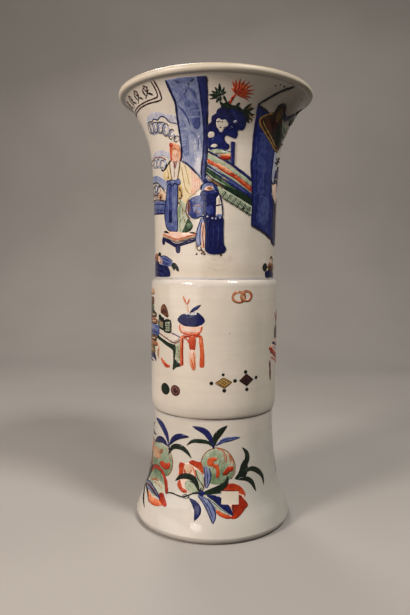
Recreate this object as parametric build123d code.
"""Glazed porcelain beaker vase of gu form.

Three thrown sections (flared foot, raised drum, trumpet) and a base disc are luted together with
slip. Everything is turned about Z. The origin is the middle of the foot ring's resting plane, and
-Y is the painted front. Lengths are in millimetres, angles in degrees.
"""

import os

from build123d import *

# Heights of the thrown sections, from the table upwards
FOOT_HEIGHT = 121.2
DRUM_HEIGHT = 140.7
TRUMPET_HEIGHT = 188.5
LIP_HEIGHT = 8.0
SLIP = 0.8

# Walls: one straight throat runs through both necks and the drum
THROAT_RADIUS = 58.5
FOOT_WALL = 7.5
TRUMPET_WALL = 6.7

# Trumpet section and its rolled lip
MOUTH_RADIUS = 103.8
LIP_DEPTH = 10.4
LIP_START_ANGLE = -97.0
LIP_SWEEP = 262.0

# Drum: how far it stands out from the neck below, and its rounded ends
DRUM_RELIEF = 3.1
DRUM_HEEL = 14.0
DRUM_SHOULDER = 6.0

# Foot section: widest just above the table, then an unglazed ring and a recessed base
FOOT_RADIUS = 85.7
FOOT_EDGE_HEIGHT = 7.0
FOOT_EDGE_DEPTH = 5.6
FOOT_RING_WIDTH = 7.5
RECESS_DEPTH = 18.0
RECESS_LEAN = 4.4
SEAT_STEP = 4.2

# Base disc, pushed up from below against the shoulder in the foot section
BASE_THICKNESS = 8.2
BASE_CHAMFER = 1.0

# Blank paper price label on the foot's front, just right of the middle
LABEL_WIDTH = 18.0
LABEL_HEIGHT = 12.3
LABEL_THICKNESS = 0.15
LABEL_CORNER = 0.8
LABEL_TURN = 14.2
LABEL_TILT = -5.0
LABEL_MID_HEIGHT = 43.0

# Reach of a cutter past the solid that it cuts
OVERRUN = 5.0

# Outlines as shares: (share of the section's length, share of its spread beyond the neck)
TRUMPET_SHARES = (
    (0, 0),
    (0.16, 0.01),
    (0.32, 0.018),
    (0.48, 0.052),
    (0.61, 0.092),
    (0.72, 0.165),
    (0.81, 0.31),
    (0.94, 0.69),
    (0.975, 0.84),
)
FOOT_SHARES = ((0, 1), (0.08, 0.84), (0.183, 0.575), (0.332, 0.3), (0.506, 0.147), (0.724, 0.041), (1, 0))
WELL_SHARES = ((0, 1), (0.19, 0.95), (0.4, 0.5), (0.67, 0.13), (1, 0))

# Where each layer starts
FOOT_NECK = THROAT_RADIUS + FOOT_WALL
TRUMPET_NECK = THROAT_RADIUS + TRUMPET_WALL
DRUM_RADIUS = FOOT_NECK + DRUM_RELIEF
DRUM_Z = FOOT_HEIGHT + SLIP
DRUM_TOP_Z = DRUM_Z + DRUM_HEIGHT
TRUMPET_Z = DRUM_TOP_Z + SLIP
LIP_Z = TRUMPET_Z + TRUMPET_HEIGHT

# The base disc's seat, worked in from the foot ring
RING_OUTER = FOOT_RADIUS - FOOT_EDGE_DEPTH
RING_INNER = RING_OUTER - FOOT_RING_WIDTH
SEAT_RADIUS = RING_INNER - RECESS_LEAN
SHOULDER_RADIUS = SEAT_RADIUS - SEAT_STEP
SHOULDER_Z = RECESS_DEPTH + BASE_THICKNESS + SLIP

UP = (0, 1)


def turned(*outline):
    """Solid of revolution about Z from a closed outline drawn as (radius, height)."""
    return revolve(Plane.XZ * make_face(Curve() + list(outline)), Axis.Z)


def ring(inner, outer, low, high):
    """Flat ring between two radii and two heights."""
    return turned(Polyline((inner, low), (outer, low), (outer, high), (inner, high), close=True))


def at_shares(shares, low, length, neck, spread):
    """Outline points from a table of shares."""
    return [(neck + s * spread, low + t * length) for t, s in shares]


def foot_outline():
    """Outer curve of the foot section, from its widest point up to its top edge."""
    length = FOOT_HEIGHT - FOOT_EDGE_HEIGHT
    points = at_shares(FOOT_SHARES, FOOT_EDGE_HEIGHT, length, FOOT_NECK, FOOT_RADIUS - FOOT_NECK)
    return Spline(points, tangents=(UP, UP), tangent_scalars=(FOOT_EDGE_HEIGHT / length, 1))


def make_foot_section():
    """Flared lower section: foot ring, shoulder for the base disc and a hollow well above it."""
    skin = foot_outline()
    edge = EllipticalCenterArc(
        (RING_OUTER, FOOT_EDGE_HEIGHT), FOOT_EDGE_DEPTH, FOOT_EDGE_HEIGHT, start_angle=-90, arc_size=90
    )
    spread = SHOULDER_RADIUS - THROAT_RADIUS
    well = Spline(
        at_shares(WELL_SHARES, SHOULDER_Z, FOOT_HEIGHT - SHOULDER_Z, THROAT_RADIUS, spread),
        tangents=(UP, UP),
    )
    return turned(
        edge,
        skin,
        Line(skin @ 1, well @ 1),
        well,
        Polyline(well @ 0, (SEAT_RADIUS, SHOULDER_Z), (SEAT_RADIUS, RECESS_DEPTH), (RING_INNER, 0), edge @ 0),
    )


def make_drum():
    """Raised middle section with a long rounded heel and a shorter rounded shoulder."""
    heel = EllipticalCenterArc(
        (FOOT_NECK, DRUM_Z + DRUM_HEEL), DRUM_RELIEF, DRUM_HEEL, start_angle=-90, arc_size=90
    )
    relief = DRUM_RADIUS - TRUMPET_NECK
    shoulder = EllipticalCenterArc(
        (TRUMPET_NECK, DRUM_TOP_Z - DRUM_SHOULDER), relief, DRUM_SHOULDER, start_angle=0, arc_size=90
    )
    throat_top = (THROAT_RADIUS, DRUM_TOP_Z)
    throat_bottom = (THROAT_RADIUS, DRUM_Z)
    return turned(
        heel,
        Line(heel @ 1, shoulder @ 0),
        shoulder,
        Polyline(shoulder @ 1, throat_top, throat_bottom, heel @ 0),
    )


def make_trumpet():
    """Flared upper section that ends in a rolled lip, its inside parallel to its outside."""
    lip = EllipticalCenterArc(
        (MOUTH_RADIUS - LIP_DEPTH / 2, LIP_Z + LIP_HEIGHT / 2),
        LIP_DEPTH / 2,
        LIP_HEIGHT / 2,
        start_angle=LIP_START_ANGLE,
        arc_size=LIP_SWEEP,
    )
    flare = lip @ 0
    spread = flare.X - TRUMPET_NECK
    points = at_shares(TRUMPET_SHARES, TRUMPET_Z, flare.Y - TRUMPET_Z, TRUMPET_NECK, spread)
    outside = Spline([*points, flare], tangents=(UP, flare - Vector(points[-1])))
    inside = Spline([(THROAT_RADIUS, TRUMPET_Z), *(inset(outside, p) for p in points[1:]), lip @ 1])
    return turned(outside, lip, inside, Line(inside @ 0, outside @ 0))


def inset(curve, point):
    """The point as far inside the wall as the trumpet is thick, square to its outer curve."""
    tangent = curve % curve.param_at_point(point)
    return (point[0] - TRUMPET_WALL * tangent.Y, point[1] + TRUMPET_WALL * tangent.X)


def make_base():
    """Base disc with its lower edge eased."""
    radius = SEAT_RADIUS - SLIP
    top = RECESS_DEPTH + BASE_THICKNESS
    return turned(
        Polyline(
            (0, RECESS_DEPTH),
            (radius - BASE_CHAMFER, RECESS_DEPTH),
            (radius, RECESS_DEPTH + BASE_CHAMFER),
            (radius, top),
            (0, top),
            close=True,
        )
    )


def make_base_slip():
    """Slip that beds the base disc: round its edge and over the rim that meets the shoulder."""
    side = ring(SEAT_RADIUS - SLIP, SEAT_RADIUS, RECESS_DEPTH, SHOULDER_Z)
    bed = ring(SHOULDER_RADIUS, SEAT_RADIUS - SLIP, SHOULDER_Z - SLIP, SHOULDER_Z)
    return side + bed


def make_label():
    """Thin label that follows the foot's skin, cut to a rounded rectangle."""
    skin = foot_outline()
    outer = Pos(LABEL_THICKNESS, 0) * skin
    band = turned(skin, Line(skin @ 1, outer @ 1), outer, Line(outer @ 0, skin @ 0))
    facing = Plane(origin=(0, 0, LABEL_MID_HEIGHT), x_dir=(1, 0, 0), z_dir=(0, -1, 0))
    shape = Rot(0, 0, LABEL_TILT) * RectangleRounded(LABEL_WIDTH, LABEL_HEIGHT, LABEL_CORNER)
    cutter = extrude(facing * shape, FOOT_RADIUS + OVERRUN)
    return (Rot(0, 0, LABEL_TURN) * cutter) & band


PIECES = {
    "lower_foot_section": make_foot_section(),
    "base_disc": make_base(),
    "base_luting_slip": make_base_slip(),
    "lower_luting_slip": ring(THROAT_RADIUS, FOOT_NECK, FOOT_HEIGHT, DRUM_Z),
    "middle_drum": make_drum(),
    "upper_luting_slip": ring(THROAT_RADIUS, TRUMPET_NECK, DRUM_TOP_Z, TRUMPET_Z),
    "upper_beaker": make_trumpet(),
    "paper_label": make_label(),
}

os.makedirs("parts", exist_ok=True)
for name, piece in PIECES.items():
    export_step(piece, f"parts/{name}.step")
    print(f"{name}: {piece.volume / 1000:.1f} cm3, valid {piece.is_valid}")
